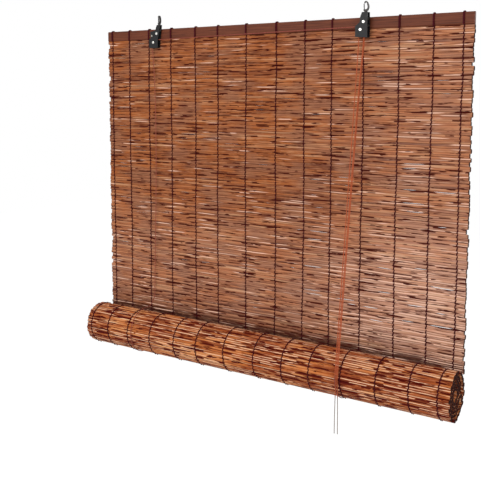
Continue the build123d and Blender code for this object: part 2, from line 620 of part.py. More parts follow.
def main():
    """Build every piece and write it to its own file."""
    os.makedirs("parts", exist_ok=True)
    pulleys, rail_screws = build_pulleys()
    holes = [(x, z, seat + SCREW_LENGTH, SCREW_LENGTH, SCREW_RADIUS) for x, z, seat in rail_screws]
    for x in (LEFT_LEG_X, RIGHT_LEG_X):
        holes.append((x, TIE_SCREW_Z, RAIL_DEPTH / 2, SCREW_LENGTH, SCREW_RADIUS))
    save("head_rail", build_rail(holes))
    save("reed_mat", build_mat())
    save("reed_roll", build_roll())
    for number, x in enumerate(THREAD_PLACES, 1):
        save(f"warp_thread_{number:02d}", build_warp(x, f"warp {number}"))
        save(f"roll_thread_{number:02d}", build_ring(x, f"ring {number}"))
    save("cord_tie_screws", Compound([build_tie_screw(x) for x in (LEFT_LEG_X, RIGHT_LEG_X)]))
    for name, shape in pulleys.items():
        save(name, shape)
    for name, shape in build_cords().items():
        save(name, shape)
    print(len(WRITTEN), "files")


main()
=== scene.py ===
# %% [markdown]
# # A reed roll-up blind, dressed for its portrait
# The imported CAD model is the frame: every reed, thread and cord below takes its place from it.
# Sizes are written in millimetres in the head rail's own frame, because that is how the blind
# was measured: X along the rail from its middle, -Y towards the room, Z = 0 at the rail's top.
# Only the cords' routes are in metres in the blind's own frame, where the CAD cords run.

# %% Load the frame
import math
import random

import bpy
import numpy as np
from mathutils import Matrix, Vector


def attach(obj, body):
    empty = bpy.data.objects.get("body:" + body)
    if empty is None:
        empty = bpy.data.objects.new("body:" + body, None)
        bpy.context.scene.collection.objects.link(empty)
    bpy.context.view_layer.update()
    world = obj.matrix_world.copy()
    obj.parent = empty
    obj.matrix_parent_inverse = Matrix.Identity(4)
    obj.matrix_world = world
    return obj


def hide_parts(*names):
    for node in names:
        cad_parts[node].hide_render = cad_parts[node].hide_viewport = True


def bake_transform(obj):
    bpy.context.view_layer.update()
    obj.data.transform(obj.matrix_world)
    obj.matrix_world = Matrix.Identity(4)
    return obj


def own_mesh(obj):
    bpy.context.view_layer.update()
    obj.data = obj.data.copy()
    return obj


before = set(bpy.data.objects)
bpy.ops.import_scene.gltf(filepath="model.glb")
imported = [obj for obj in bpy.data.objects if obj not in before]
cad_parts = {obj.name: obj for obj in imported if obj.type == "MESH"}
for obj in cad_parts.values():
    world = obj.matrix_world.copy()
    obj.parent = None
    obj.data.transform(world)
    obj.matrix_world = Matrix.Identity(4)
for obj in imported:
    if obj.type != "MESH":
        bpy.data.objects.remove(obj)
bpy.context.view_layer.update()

# %% Sizes shared with the part's source, in millimetres
HANG_POINT = np.array((-285.5, -8.1, 24.8))
BLIND_WIDTH = 900.0
RAIL_DEPTH = 7.6
REED_RADIUS, REED_PITCH, REED_COUNT = 3.6, 8.55, 81
MAT_TOP = -24.3
ROLL_Y, ROLL_Z, ROLL_RADIUS = -47.4, -716.85, 51.0
THREAD_PLACES = BLIND_WIDTH * np.array([-0.4844, -0.4244, -0.3567, -0.2833, -0.2056, -0.1367, -0.0533,
                                        0.0322, 0.1089, 0.1789, 0.2567, 0.3389, 0.4144, 0.4778])
CORD_DIAMETER = 1.8
LIFT = 595.0


def to_frame(points):
    """Millimetres in the rail's frame to metres in the blind's own frame."""
    return (np.asarray(points, float) - HANG_POINT) / 1000.0


print("mat", BLIND_WIDTH, "mm wide,", REED_COUNT, "reeds hanging,", len(THREAD_PLACES), "threads")

# %% [markdown]
# ## Camera
# The photograph looks at the blind from its right, a little above the middle of the mat, and
# its upright lines stay nearly upright, so the camera looks only slightly down and its lens
# is shifted down for the rest. A camera can be placed by eye, but a bearing that is a little
# wrong tilts every reed, so these numbers come from the edges of the rail, the mat and the roll.

# %% Camera
SENSOR_WIDTH, LENS_SHIFT = 36.0, -0.15
FOCAL_LENGTH_IN_PIXELS, PICTURE_HEIGHT_IN_PIXELS = 764.14, 500.0
CAMERA_PLACE = (857.89, -1437.33, -154.97)
bearing, dip, tilt = math.radians(32.669), math.radians(5.948), math.radians(0.074)

camera_data = bpy.data.cameras.new("photo_camera")
camera = bpy.data.objects.new("photo_camera", camera_data)
bpy.context.scene.collection.objects.link(camera)
bpy.context.scene.camera = camera
camera_data.sensor_width = SENSOR_WIDTH
camera_data.lens = FOCAL_LENGTH_IN_PIXELS * SENSOR_WIDTH / PICTURE_HEIGHT_IN_PIXELS
camera_data.shift_y = LENS_SHIFT
aside = Vector((math.cos(bearing), math.sin(bearing), 0))
look = Vector((-math.sin(bearing) * math.cos(dip), math.cos(bearing) * math.cos(dip), -math.sin(dip)))
upward = aside.cross(look)
turn = Matrix((aside, upward, -look)).transposed().to_4x4() @ Matrix.Rotation(tilt, 4, "Z")
camera.matrix_world = Matrix.Translation(to_frame(CAMERA_PLACE)) @ turn
print("camera at", to_frame(CAMERA_PLACE).round(3), "lens", round(camera_data.lens, 2), "mm")

# %% [markdown]
# ## Mesh tools
# Nearly everything here is a round thing carried along a line: reeds, threads and cords. A
# curve with a round bevel would do for one cord, but a hundred reeds, each thick and thin in
# its own places, are quicker as arrays. So one helper turns rings into a mesh at once, for one
# tube or for a hundred.


# %% From rings to a mesh
def ring_map(along, sides, first):
    """The UV map's corners, for all quads and then for the closing faces, as one flat array.

    It holds (along, tube number + turn): u is the given length along each row, and v goes from
    the tube's number to the next one round the ring.
    """
    tubes, rows = along.shape
    number = first + np.arange(tubes)[:, None, None]
    turn_0 = np.arange(sides)[None, None, :] / sides
    turn_1 = turn_0 + 1.0 / sides
    u = np.broadcast_to(along[:, :, None], (tubes, rows, sides))
    low, high = u[:, :-1], u[:, 1:]
    near = np.broadcast_to(number + turn_0, low.shape)
    far = np.broadcast_to(number + turn_1, low.shape)
    quads = np.stack([np.stack([low, near], -1), np.stack([low, far], -1),
                      np.stack([high, far], -1), np.stack([high, near], -1)], axis=-2)
    middle = np.broadcast_to(number[:, 0] + 0.5, (tubes, sides))
    closing = np.stack([np.stack([u[:, 0], middle], -1), np.stack([u[:, -1], middle], -1)])
    return np.concatenate([quads.ravel(), closing.ravel()]).astype(np.float32)


def rings_to_mesh(name, rings, along, first=0.0, end_rows=0):
    """A mesh from rings: an array (tubes, rows, sides, 3) in metres.

    Neighbouring rings are joined by quads, and each tube's first and last ring is closed by
    one face. Quads of the first and last end_rows rows get the second material and flat shading.
    """
    tubes, rows, sides = rings.shape[:3]
    index = np.arange(tubes * rows * sides).reshape(tubes, rows, sides)
    beside = np.roll(index, -1, axis=2)
    quads = np.stack([index[:, :-1], beside[:, :-1], beside[:, 1:], index[:, 1:]], axis=-1)
    starts, ends = index[:, 0, ::-1], index[:, -1]
    corners = np.concatenate([quads.ravel(), starts.ravel(), ends.ravel()])
    count = quads.size // 4
    begin = np.concatenate([np.arange(count) * 4, count * 4 + np.arange(2 * tubes) * sides])

    mesh = bpy.data.meshes.new(name)
    mesh.vertices.add(tubes * rows * sides)
    mesh.vertices.foreach_set("co", rings.astype(np.float32).ravel())
    mesh.loops.add(len(corners))
    mesh.loops.foreach_set("vertex_index", corners.astype(np.int32))
    mesh.polygons.add(len(begin))
    mesh.polygons.foreach_set("loop_start", begin.astype(np.int32))
    mesh.update(calc_edges=True)
    mesh.polygons.foreach_set("use_smooth", np.ones(len(begin), bool))
    layer = mesh.uv_layers.new(name="UVMap")
    layer.data.foreach_set("uv", ring_map(along, sides, first))
    if end_rows:
        kind = np.zeros((tubes, rows - 1, sides), np.int32)
        kind[:, :end_rows] = 1
        kind[:, -end_rows:] = 1
        kind = np.concatenate([kind.ravel(), np.ones(2 * tubes, np.int32)])
        mesh.polygons.foreach_set("material_index", kind)
        mesh.polygons.foreach_set("use_smooth", kind == 0)
    mesh.validate()
    piece = bpy.data.objects.new(name, mesh)
    bpy.context.scene.collection.objects.link(piece)
    return piece


ALONG_RAIL = np.array((1.0, 0.0, 0.0))


def tube_rings(path, radius, sides):
    """Rings round a line: at each point, centre + radius (cos(turn) * side + sin(turn) * up).

    side is the rail's direction made square to the line, and up is line x side, so the rings
    never twist as long as the line doesn't run along the rail.
    """
    ahead = np.gradient(path, axis=0)
    ahead /= np.linalg.norm(ahead, axis=1, keepdims=True)
    side = ALONG_RAIL - ahead * (ahead @ ALONG_RAIL)[:, None]
    side /= np.linalg.norm(side, axis=1, keepdims=True)
    up = np.cross(ahead, side)
    turn = np.linspace(0, 2 * np.pi, sides, endpoint=False)[None, :, None]
    return path[:, None] + radius * (np.cos(turn) * side[:, None] + np.sin(turn) * up[:, None])


def length_along(path):
    """Distance from the line's start to each of its points."""
    steps = np.linalg.norm(np.diff(path, axis=0), axis=1)
    return np.concatenate([[0.0], np.cumsum(steps)])


# %% [markdown]
# ## Cords
# Two thin lift cords, orange-red and loosely twisted, carry the roll in their loops. From each
# loop one leg climbs in front of the mat and one behind it. Both cords leave the lock pulley,
# lean down over the roll's front and end plainly below it. A cord could be simulated, but a
# taut one just follows its few supports: each line is a NURBS spline through the same route
# points as the CAD cord, and the tube follows the spline.


# %% A cord's line and its tube
def spline_line(points):
    """Points along a NURBS spline of order 3 whose control points are given, in metres."""
    curve = bpy.data.curves.new("route", "CURVE")
    curve.dimensions = "3D"
    spline = curve.splines.new("NURBS")
    spline.points.add(len(points) - 1)
    spline.points.foreach_set("co", np.c_[points, np.ones(len(points))].ravel())
    spline.order_u = 3
    spline.use_endpoint_u = True
    spline.resolution_u = 24
    holder = bpy.data.objects.new("route", curve)
    bpy.context.scene.collection.objects.link(holder)
    mesh = bpy.data.meshes.new_from_object(holder.evaluated_get(bpy.context.evaluated_depsgraph_get()))
    line = np.empty(len(mesh.vertices) * 3)
    mesh.vertices.foreach_get("co", line)
    bpy.data.objects.remove(holder)
    bpy.data.curves.remove(curve)
    bpy.data.meshes.remove(mesh)
    return line.reshape(-1, 3)


def even_line(line, step):
    """The same line with points an even step apart, by linear interpolation along its length."""
    travel = length_along(line)
    at = np.linspace(0, travel[-1], max(4, int(travel[-1] / step)))
    return np.stack([np.interp(at, travel, line[:, k]) for k in range(3)], axis=1)


CORD_STEP, CORD_SIDES = 0.006, 10


def cord_tube(name, line):
    """A cord's tube along a line, with its UV map's u in metres along the cord."""
    line = even_line(line, CORD_STEP)
    rings = tube_rings(line, CORD_DIAMETER / 1000 / 2, CORD_SIDES)
    return rings_to_mesh(name, rings[None], length_along(line)[None]), line


# %% The two pull cords and their tails
PULL_RUNS = {
    "left": [(0.5207, -0.00705, -0.0498), (0.5207, -0.00705, -0.0678), (0.52045, -0.0093, -0.08566),
             (0.5160, -0.0240, -0.21), (0.5115, -0.09069, -0.73114), (0.5114, -0.0916, -0.73837),
             (0.5114, -0.0916, -0.74565)],
    "right": [(0.5207, -0.00235, -0.0498), (0.5207, -0.00235, -0.0678), (0.52052, -0.00473, -0.08564),
              (0.5172, -0.0205, -0.20), (0.51407, -0.09061, -0.73078), (0.514, -0.0916, -0.73818),
              (0.514, -0.0916, -0.74565)],
}
TAIL_SPREAD, TAIL_MIDDLE, TAIL_END = 0.0022, -0.785, -0.85265
cords = []
for side, route in PULL_RUNS.items():
    name = side + "_pull_cord"
    run, line = cord_tube(name, spline_line(route))
    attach(run, "head")
    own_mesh(run)
    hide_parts(name + "_run")
    top = route[-1]
    foot_x = top[0] + (TAIL_SPREAD if side == "right" else -TAIL_SPREAD)
    middle, bottom = (foot_x, top[1], TAIL_MIDDLE), (foot_x, top[1], TAIL_END)
    tail, line = cord_tube(name + "_tail", spline_line([top, middle, bottom]))
    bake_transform(tail)
    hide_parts(name + "_end")
    cords += [run, tail]
    print(side, "pull cord", round(length_along(line)[-1], 3), "m of tail")

# %% The legs of the lift cords, down to the roll in front of the mat and behind it
LEGS = {
    "right_front_leg": ([(0.5087, -0.00235, -0.0498), (0.5087, -0.00235, -0.0678),
                         (0.5087, -0.00473, -0.08564), (0.5087, -0.09114, -0.73475)], "right_cord_front_leg"),
    "left_front_leg": ([(-0.0215, -0.0004, -0.0558), (-0.0212, -0.0004, -0.0668), (-0.0135, -0.0008, -0.16),
                        (-0.0125, -0.0008, -0.36), (-0.0195, -0.0004, -0.58), (-0.0215, -0.0004, -0.65983)],
                       "left_cord_front_leg"),
    "left_back_leg": ([(-0.0215, 0.013, -0.0384), (-0.0215, 0.013, -0.4), (-0.0215, 0.013, -0.74165)],
                      "left_cord_back_leg"),
    "right_back_leg": ([(0.5087, 0.013, -0.0384), (0.5087, 0.013, -0.4), (0.5087, 0.013, -0.74165)],
                       "right_cord_back_leg"),
}
for name, (route, node) in LEGS.items():
    leg, line = cord_tube(name, spline_line(route))
    # The left front leg is hardly longer than the lift; the height of its raised end is worked out here, but
    # nothing uses it.
    raised_end = route[-1][2] + LIFT / 1000
    top = raised_end if name == "left_front_leg" else route[0][2]
    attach(leg, "head")
    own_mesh(leg)
    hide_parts(node)
    cords.append(leg)
print(len(cords), "cord pieces")

# %% [markdown]
# ## Reeds
# A reed is a hollow stem that is never quite straight or round. Copies of one cylinder would
# look like a grating, and stems with their own thickness would leave gaps or run into each
# other. Neighbours lie edge to edge, so the mat is drawn by its seams: each seam wanders a
# little, and a reed fills the space between two seams. That closes the mat as the threads do
# on the real one, except where two stems part and daylight shows through.

# %% Where the reeds part, as in the part's source
PLAN_SEED, GAP_COUNT = 7, 112
GAP_SHORTEST, GAP_LONGEST = 18, 52
THREAD_ROOM = 1.6


def mat_plan():
    """Each edge's unevenness and the see-through gaps, from the source's own seed."""
    chance = random.Random(PLAN_SEED)
    ends = [[chance.uniform(0, 3) + (3 if chance.random() < 0.1 else 0) for _ in range(REED_COUNT)]
            for _ in ("left", "right")]
    seen = set()
    while len(seen) < GAP_COUNT:
        row = chance.randrange(REED_COUNT - 1)
        seen.add((row, chance.randrange(len(THREAD_PLACES) - 1)))
    gaps = []
    for row, bay in sorted(seen):
        room = THREAD_PLACES[bay + 1] - THREAD_PLACES[bay] - 2 * THREAD_ROOM
        length = min(chance.uniform(GAP_SHORTEST, GAP_LONGEST), room)
        start = THREAD_PLACES[bay] + THREAD_ROOM + chance.random() * (room - length)
        gaps.append((row, start, start + length))
    return np.array(ends), gaps


uneven, gaps = mat_plan()
print(len(gaps), "gaps")

# %% Uneven stems with hollow ends
REED_SIDES, CUT_ROWS = 12, 3
FLATNESS, FURROW_DEPTH, FURROW_WIDTH = 0.8, 0.24, 0.3
HOLLOW_DEPTH, RIM_LENGTH = 5, 0.7
END_SHARES = [0.45, 0.52, 0.88, 1.0]
WAVE_SEED = 21
dice = np.random.default_rng(WAVE_SEED)


def waves(at, size, lengths):
    """Smooth wandering along each row of at: size x a mean of sines of the given wavelengths.

    Each row has its own phase, a weight of 0.5 to 1 and 0.8 to 1.25 times each wavelength.
    """
    total = np.zeros(at.shape)
    for length in lengths:
        phase = dice.uniform(0, 2 * np.pi, (len(at), 1))
        weight = dice.uniform(0.5, 1.0, (len(at), 1))
        own_length = length * dice.uniform(0.8, 1.25, (len(at), 1))
        total += weight * np.sin(2 * np.pi * at / own_length + phase)
    return total * size / len(lengths)


def twinning(at):
    """How plainly each stem is two thin ones, 0 to 1, changing slowly along it."""
    return np.clip(0.6 + waves(at, 1.6, (700, 260)), 0, 1)


def reed_rings(at, centre_y, centre_z, heading, half_wide, half_deep, twinned):
    """Rings of many reeds along X, whose neighbours follow each other along a chain.

    A point is the centre + wide cos(turn) along the chain + deep sin(turn)^0.8 across it, and
    heading is the chain's direction, as an angle from +Y to +Z. The power makes a stem a little
    flatter in front and behind, as reeds pressed edge to edge are. twinned, 0 to 1, sinks a
    furrow exp(-(cos(turn) / 0.3)^2) into both faces: where it is 1, two thin stems lie side by
    side, and where it is 0, one thick one does.
    """
    turn = np.linspace(0, 2 * np.pi, REED_SIDES, endpoint=False)
    cosine, sine = np.cos(turn), np.sin(turn)
    wide = half_wide[..., None] * cosine
    furrow = 1 - FURROW_DEPTH * twinned[..., None] * np.exp(-((cosine / FURROW_WIDTH) ** 2))
    deep = half_deep[..., None] * np.sign(sine) * np.abs(sine) ** FLATNESS * furrow
    chain_y, chain_z = np.cos(heading)[..., None], np.sin(heading)[..., None]
    x = np.broadcast_to(at[..., None], wide.shape)
    y = centre_y[..., None] + wide * chain_y - deep * chain_z
    z = centre_z[..., None] + wide * chain_z + deep * chain_y
    return np.stack([x, y, z], axis=-1)


def stem_rows(left, right, inner):
    """Positions along each stem and the share of its thickness there, hollow at both ends.

    Each stem's rows start at the hollow's bottom, come out to the cut end, turn over its rim
    and run along the stem to the other end, where they do the same in reverse.
    """
    left, right = left[:, None], right[:, None]
    middle = left + (right - left) * inner[None]
    at = np.concatenate([left + HOLLOW_DEPTH, left, left, left + RIM_LENGTH, middle,
                         right - RIM_LENGTH, right, right, right - HOLLOW_DEPTH], axis=1)
    share = np.concatenate([END_SHARES, np.ones(len(inner)), END_SHARES[::-1]])
    return at, np.broadcast_to(share, at.shape)


# %% The hanging mat's seams, and the slits where they open
OVERHANG, UNEVENNESS = 1.5, 1.1
SEAM_ABOVE, SEAM_WANDER = 0.65, 1.9
HELD_BY_ROLL = 74
SLIT_LEAST, SLIT_MORE, SLIT_TAPER = 0.14, 0.75, 1.6
INNER_ROWS = np.linspace(0, 1, 58)[1:-1]

half = BLIND_WIDTH / 2 + OVERHANG
at, share = stem_rows(-half + uneven[0] * UNEVENNESS, half - uneven[1] * UNEVENNESS, INNER_ROWS)
wander = np.zeros((REED_COUNT + 1, at.shape[1]))
wander[1:-1] = waves(at[:-1], SEAM_WANDER, (900, 300, 130))
seam = MAT_TOP - REED_PITCH * np.arange(REED_COUNT + 1)[:, None] + SEAM_ABOVE + wander
above, below = seam[:-1].copy(), seam[1:].copy()
parted = np.zeros_like(at)
for row, start, stop in gaps:
    # 0 over the whole upper left half, nearly 1 in the lower right corner.
    across, down = (start + BLIND_WIDTH / 2) / BLIND_WIDTH, row / REED_COUNT
    low_right = np.clip(across * 0.9 + down * 0.9 - 0.85, 0, 1)
    past_end = np.abs(at[row] - (start + stop) / 2) - (stop - start) / 2
    open_here = (row < HELD_BY_ROLL) / (1 + np.exp(past_end / SLIT_TAPER))
    below[row] += (SLIT_LEAST + SLIT_MORE * low_right) * open_here
    above[row + 1] -= (SLIT_LEAST + SLIT_MORE * low_right) * open_here
    parted[row:row + 2] = np.maximum(parted[row:row + 2], open_here)
print("seams", seam.shape, "parted at most", round(parted.max(), 2))

# %% The hanging mat
THINNEST, THICKEST, USUAL_HALF_WIDTH = 2.4, 3.8, 4.3
OVERLAP_PARTED, OVERLAP_MORE = 1.02, 0.08

overlap = OVERLAP_PARTED + (OVERLAP_MORE + waves(at, 0.05, (160, 60))) * (1 - parted)
half_wide = (above - below) / 2 * overlap
half_deep = np.clip(REED_RADIUS * (0.66 + 0.3 * half_wide / USUAL_HALF_WIDTH), THINNEST, THICKEST)
twinned = twinning(at)
centre_y, centre_z = waves(at, 0.55, (400, 170)), (above + below) / 2
downwards = np.full(at.shape, -np.pi / 2)
rings = reed_rings(at, centre_y, centre_z, downwards, half_wide * share, half_deep * share, twinned)
hanging_reeds = rings_to_mesh("hanging_reeds", to_frame(rings), at / 1000, end_rows=CUT_ROWS)
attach(hanging_reeds, "head")
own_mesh(hanging_reeds)
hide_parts("reed_mat")
print("hanging reeds", len(hanging_reeds.data.polygons), "faces")

# %% [markdown]
# ## The roll
# The rest of the mat is wound to the front, a little over five turns. An exact spiral would
# serve too, but the winding is made of quarter circles whose centres step round a small square,
# which is how the part's source draws it, so the reeds lie where the CAD has its ridges.

# %% The winding's line
QUARTERS = 21
QUARTER_STEP = (2 * REED_RADIUS + 0.3) / 4


def winding(travel):
    """Point and heading of the winding's middle line after a given length of mat, in mm.

    On quarter number q the radius is one step smaller than on the one before, the centre is at
    the square's corner q, and the angle falls by travel / radius. The last value is the length
    of mat in the whole roll.
    """
    radius = ROLL_RADIUS - REED_RADIUS - QUARTER_STEP * np.arange(QUARTERS)
    reach = np.concatenate([[0.0], np.cumsum(radius * np.pi / 2)])
    quarter = np.clip(np.searchsorted(reach, travel, side="right") - 1, 0, QUARTERS - 1)
    corner_y = np.array([0, 0, -1, -1])[quarter % 4] * QUARTER_STEP
    corner_z = np.array([0, -1, -1, 0])[quarter % 4] * QUARTER_STEP
    angle = -quarter * np.pi / 2 - (travel - reach[quarter]) / radius[quarter]
    y = ROLL_Y + corner_y + radius[quarter] * np.cos(angle)
    z = ROLL_Z + corner_z + radius[quarter] * np.sin(angle)
    return y, z, angle - np.pi / 2, reach[-1]


rolled_length = winding(np.array([0.0]))[3]
print("rolled up", round(rolled_length), "mm of mat")

# %% The rolled reeds
ROLL_HALF, ROLL_HALF_WIDE = BLIND_WIDTH / 2 + 0.5, 4.55
SEEN_LENGTH = 300 + 2 * REED_PITCH
ROLL_WAVES = (900, 400)
ROLL_FIRST_NUMBER = 200.0

travel = np.arange(0.5, rolled_length / REED_PITCH) * REED_PITCH
seen_turn = travel < SEEN_LENGTH
left = -ROLL_HALF + dice.uniform(0, 2, len(travel))
left -= np.where(seen_turn, dice.uniform(0, 3.5, len(travel)), 0)
right = ROLL_HALF - dice.uniform(0, 2, len(travel))
right += np.where(seen_turn, dice.uniform(0.5, 4.5, len(travel)), 0)


def roll_piece(name, chosen, inner):
    """The chosen reeds of the winding as one piece, each turned to the winding's heading."""
    at, share = stem_rows(left[chosen], right[chosen], inner)
    y, z, heading, _ = winding(travel[chosen][:, None] + waves(at, 0.3, ROLL_WAVES))
    wide = ROLL_HALF_WIDE + waves(at, 0.2, ROLL_WAVES)
    deep = REED_RADIUS + waves(at, 0.15, ROLL_WAVES)
    rings = reed_rings(at, y, z, heading, wide * share, deep * share, twinning(at))
    return rings_to_mesh(name, to_frame(rings), at / 1000, first=ROLL_FIRST_NUMBER, end_rows=CUT_ROWS)


rolled_reeds = roll_piece("rolled_reeds", seen_turn, INNER_ROWS)
rolled_core = roll_piece("rolled_core", ~seen_turn, np.linspace(0, 1, 6)[1:-1])
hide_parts("reed_roll")
for piece in (rolled_reeds, rolled_core):
    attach(piece, "roll")
print("rolled reeds", len(rolled_reeds.data.polygons), "and", len(rolled_core.data.polygons), "faces")

# %% [markdown]
# ## Warp threads
# Two strands are twined round the reeds: at each seam they cross, so that every reed has one
# strand in front and one behind. A single straight cylinder would look like a wire laid on the
# mat. Two strands that follow the same wave, one in front where the other is behind, hold the
# reeds as the real ones do, and seen from a step away they make a dark beaded line.

# %% Twined strands down the mat
STRAND, STRAND_SIDES, STRANDS_APART = 1.2, 6, 0.8
PER_REED = 6
WEAVE_REACH, WEAVE_FLATNESS = 4.4, 0.35
threads = []


def weave(passed):
    """Across the mat: the wave sin(pi * reeds passed), its tops flattened to hug the reeds."""
    wave = np.sin(np.pi * passed)
    return np.sign(wave) * np.abs(wave) ** WEAVE_FLATNESS


def strands_to_piece(name, passed, strands):
    """Both strands' tubes as one piece, with the metres of mat passed as the UV map's u."""
    rings = np.stack([tube_rings(to_frame(strand), STRAND / 1000, STRAND_SIDES) for strand in strands])
    piece = rings_to_mesh(name, rings, np.broadcast_to(passed * REED_PITCH / 1000, (2, len(passed))))
    threads.append(piece)
    return piece


passed = np.linspace(0, REED_COUNT, REED_COUNT * PER_REED + 1)
for number, x in enumerate(THREAD_PLACES, 1):
    drift = 0.8 * np.sin(passed / 9.0 + number) + 0.5 * np.sin(passed / 2.3 + 2 * number)
    strands = []
    for sign in (-1, 1):
        strand_x = x + drift - sign * STRANDS_APART * np.cos(np.pi * passed)
        strand_y = sign * WEAVE_REACH * weave(passed)
        strands.append(np.stack([strand_x, strand_y, MAT_TOP - passed * REED_PITCH], 1))
    thread = strands_to_piece(f"hanging_thread_{number:02d}", passed, strands)
    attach(thread, "head")
    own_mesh(thread)
    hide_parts(f"warp_thread_{number:02d}")
print(len(threads), "threads down the mat")

# %% The same threads round the roll
RING_REACH, RING_DIP, RING_SHARE = 4.2, -0.1, 0.92
ring_reeds = 2 * np.pi * (ROLL_RADIUS - REED_RADIUS) * RING_SHARE / REED_PITCH
passed = np.linspace(0, ring_reeds, int(ring_reeds * PER_REED))
y, z, heading, _ = winding(passed * REED_PITCH)
for number, x in enumerate(THREAD_PLACES, 1):
    drift = 0.8 * np.sin(passed / 7.0 + number)
    strands = []
    for sign in (-1, 1):
        strand_x = x + drift - sign * STRANDS_APART * np.cos(np.pi * passed)
        rise = RING_REACH * np.maximum(sign * weave(passed), RING_DIP)
        strands.append(np.stack([strand_x, y - rise * np.sin(heading), z + rise * np.cos(heading)], 1))
    ring = strands_to_piece(f"roll_ring_{number:02d}", passed, strands)
    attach(ring, "roll")
    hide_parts(f"roll_thread_{number:02d}")
print("rings go round", round(ring_reeds, 1), "reeds")

# %% The threads' wraps over the rail
BEND_RADIUS, STRAIGHT_ROWS = 3.0, 8
wrap_out = RAIL_DEPTH / 2 + STRAND
straight = np.linspace(MAT_TOP, -BEND_RADIUS, STRAIGHT_ROWS)
bend = np.linspace(0, np.pi / 2, 7)[1:]
bend_y = -wrap_out + (BEND_RADIUS + STRAND) * (1 - np.cos(bend))
bend_z = -BEND_RADIUS + (BEND_RADIUS + STRAND) * np.sin(bend)
front_y = np.concatenate([np.full(STRAIGHT_ROWS, -wrap_out), bend_y])
front_z = np.concatenate([straight, bend_z])
wrap_y = np.concatenate([front_y, -front_y[::-1]])
wrap_z = np.concatenate([front_z, front_z[::-1]])
wraps, lengths = [], []
for number, x in enumerate(THREAD_PLACES, 1):
    for sign in (-1, 1):
        lean = sign * (0.85 + 0.25 * np.sin(number * 1.7 + np.linspace(0, 3, len(wrap_y))))
        path = to_frame(np.stack([x + lean, wrap_y, wrap_z], 1))
        wraps.append(tube_rings(path, STRAND / 1000, STRAND_SIDES))
        lengths.append(length_along(path))
rail_wraps = rings_to_mesh("rail_thread_wraps", np.stack(wraps), np.stack(lengths))
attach(rail_wraps, "head")
threads.append(rail_wraps)
print(len(wraps), "wraps over the rail")

# %% [markdown]
# ## Finishes
# A picture pasted on the reeds would carry its own light and look stretched from another side.
# So every finish is mixed from noise. On reeds, threads and cords the noise follows the UV
# map, so that the streaks run along each stem however it is turned. The other pieces read
# Object coordinates, which are the same for all of them. The helpers keep each finish short.


# %% Node helpers
def srgb(red, green, blue):
    """A colour as a paint program shows it, 0 to 255, as the renderer's linear values."""
    share = np.array((red, green, blue)) / 255.0
    return tuple(np.where(share <= 0.04045, share / 12.92, ((share + 0.055) / 1.055) ** 2.4)) + (1.0,)


def new_finish(name):
    """An empty material with a Principled shader, and its node tree."""
    finish = bpy.data.materials.new(name)
    finish.use_nodes = True
    return finish, finish.node_tree, finish.node_tree.nodes["Principled BSDF"]


def add(tree, kind, settings=(), inputs=()):
    """A new node with some of its settings and unlinked inputs filled in."""
    node = tree.nodes.new(kind)
    for key, value in dict(settings).items():
        setattr(node, key, value)
    for key, value in dict(inputs).items():
        node.inputs[key].default_value = value
    return node


def calculate(tree, operation, first, second=None):
    """One math node; first and second are sockets or numbers."""
    node = add(tree, "ShaderNodeMath", {"operation": operation})
    for socket, value in zip(node.inputs, (first, second)):
        if isinstance(value, (int, float)):
            socket.default_value = value
        elif value is not None:
            tree.links.new(value, socket)
    return node.outputs[0]


def times(tree, first, second):
    """first x second."""
    return calculate(tree, "MULTIPLY", first, second)


def plus(tree, first, second):
    """first + second."""
    return calculate(tree, "ADD", first, second)


def object_place(tree):
    """Each point's place in the blind's own frame, in metres."""
    return add(tree, "ShaderNodeTexCoord").outputs["Object"]


def parts_of(tree, vector):
    """The sockets X, Y and Z of a vector."""
    node = add(tree, "ShaderNodeSeparateXYZ")
    tree.links.new(vector, node.inputs[0])
    return node.outputs


def streaks(tree, source, scale, detail=2.0, rough=0.5):
    """Noise on a stretched copy of the source vector; returns its value socket."""
    stretch = add(tree, "ShaderNodeMapping", (), {"Scale": scale})
    tree.links.new(source, stretch.inputs["Vector"])
    noise = add(tree, "ShaderNodeTexNoise", {"noise_dimensions": "3D"},
                {"Scale": 1.0, "Detail": detail, "Roughness": rough})
    tree.links.new(stretch.outputs[0], noise.inputs["Vector"])
    return noise.outputs["Fac"]


def ramp(tree, value, stops):
    """A colour ramp fed by value; stops are (position, colour)."""
    node = add(tree, "ShaderNodeValToRGB")
    bar = node.color_ramp
    while len(bar.elements) < len(stops):
        bar.elements.new(0.5)
    for element, (position, colour) in zip(bar.elements, stops):
        element.position, element.color = position, colour
    tree.links.new(value, node.inputs["Fac"])
    return node.outputs["Color"]


def blend_colours(tree, share, low, high, mode="MIX"):
    """Mix two colours, each a socket or a tuple, by a share socket."""
    node = add(tree, "ShaderNodeMix", {"data_type": "RGBA", "blend_type": mode})
    tree.links.new(share, node.inputs["Factor"])
    for socket, value in ((node.inputs[6], low), (node.inputs[7], high)):
        if isinstance(value, tuple):
            socket.default_value = value
        else:
            tree.links.new(value, socket)
    return node.outputs[2]


def window(tree, value, low, high):
    """0 at low, 1 at high, smooth between; low may be the greater of the two."""
    node = add(tree, "ShaderNodeMapRange", {"interpolation_type": "SMOOTHSTEP"},
               {"From Min": low, "From Max": high})
    tree.links.new(value, node.inputs["Value"])
    return node.outputs["Result"]


def hill(tree, value, centre, reach):
    """1 near the centre, falling smoothly to 0 where value is a reach away from it."""
    away = calculate(tree, "ABSOLUTE", calculate(tree, "SUBTRACT", value, centre))
    return window(tree, away, reach, reach * 0.35)


def coat(tree, shader, colour, rough, gloss=0.5):
    """The shader's colour from a socket, and its roughness and highlight as plain values."""
    tree.links.new(colour, shader.inputs["Base Color"])
    shader.inputs["Roughness"].default_value = rough
    shader.inputs["Specular IOR Level"].default_value = gloss


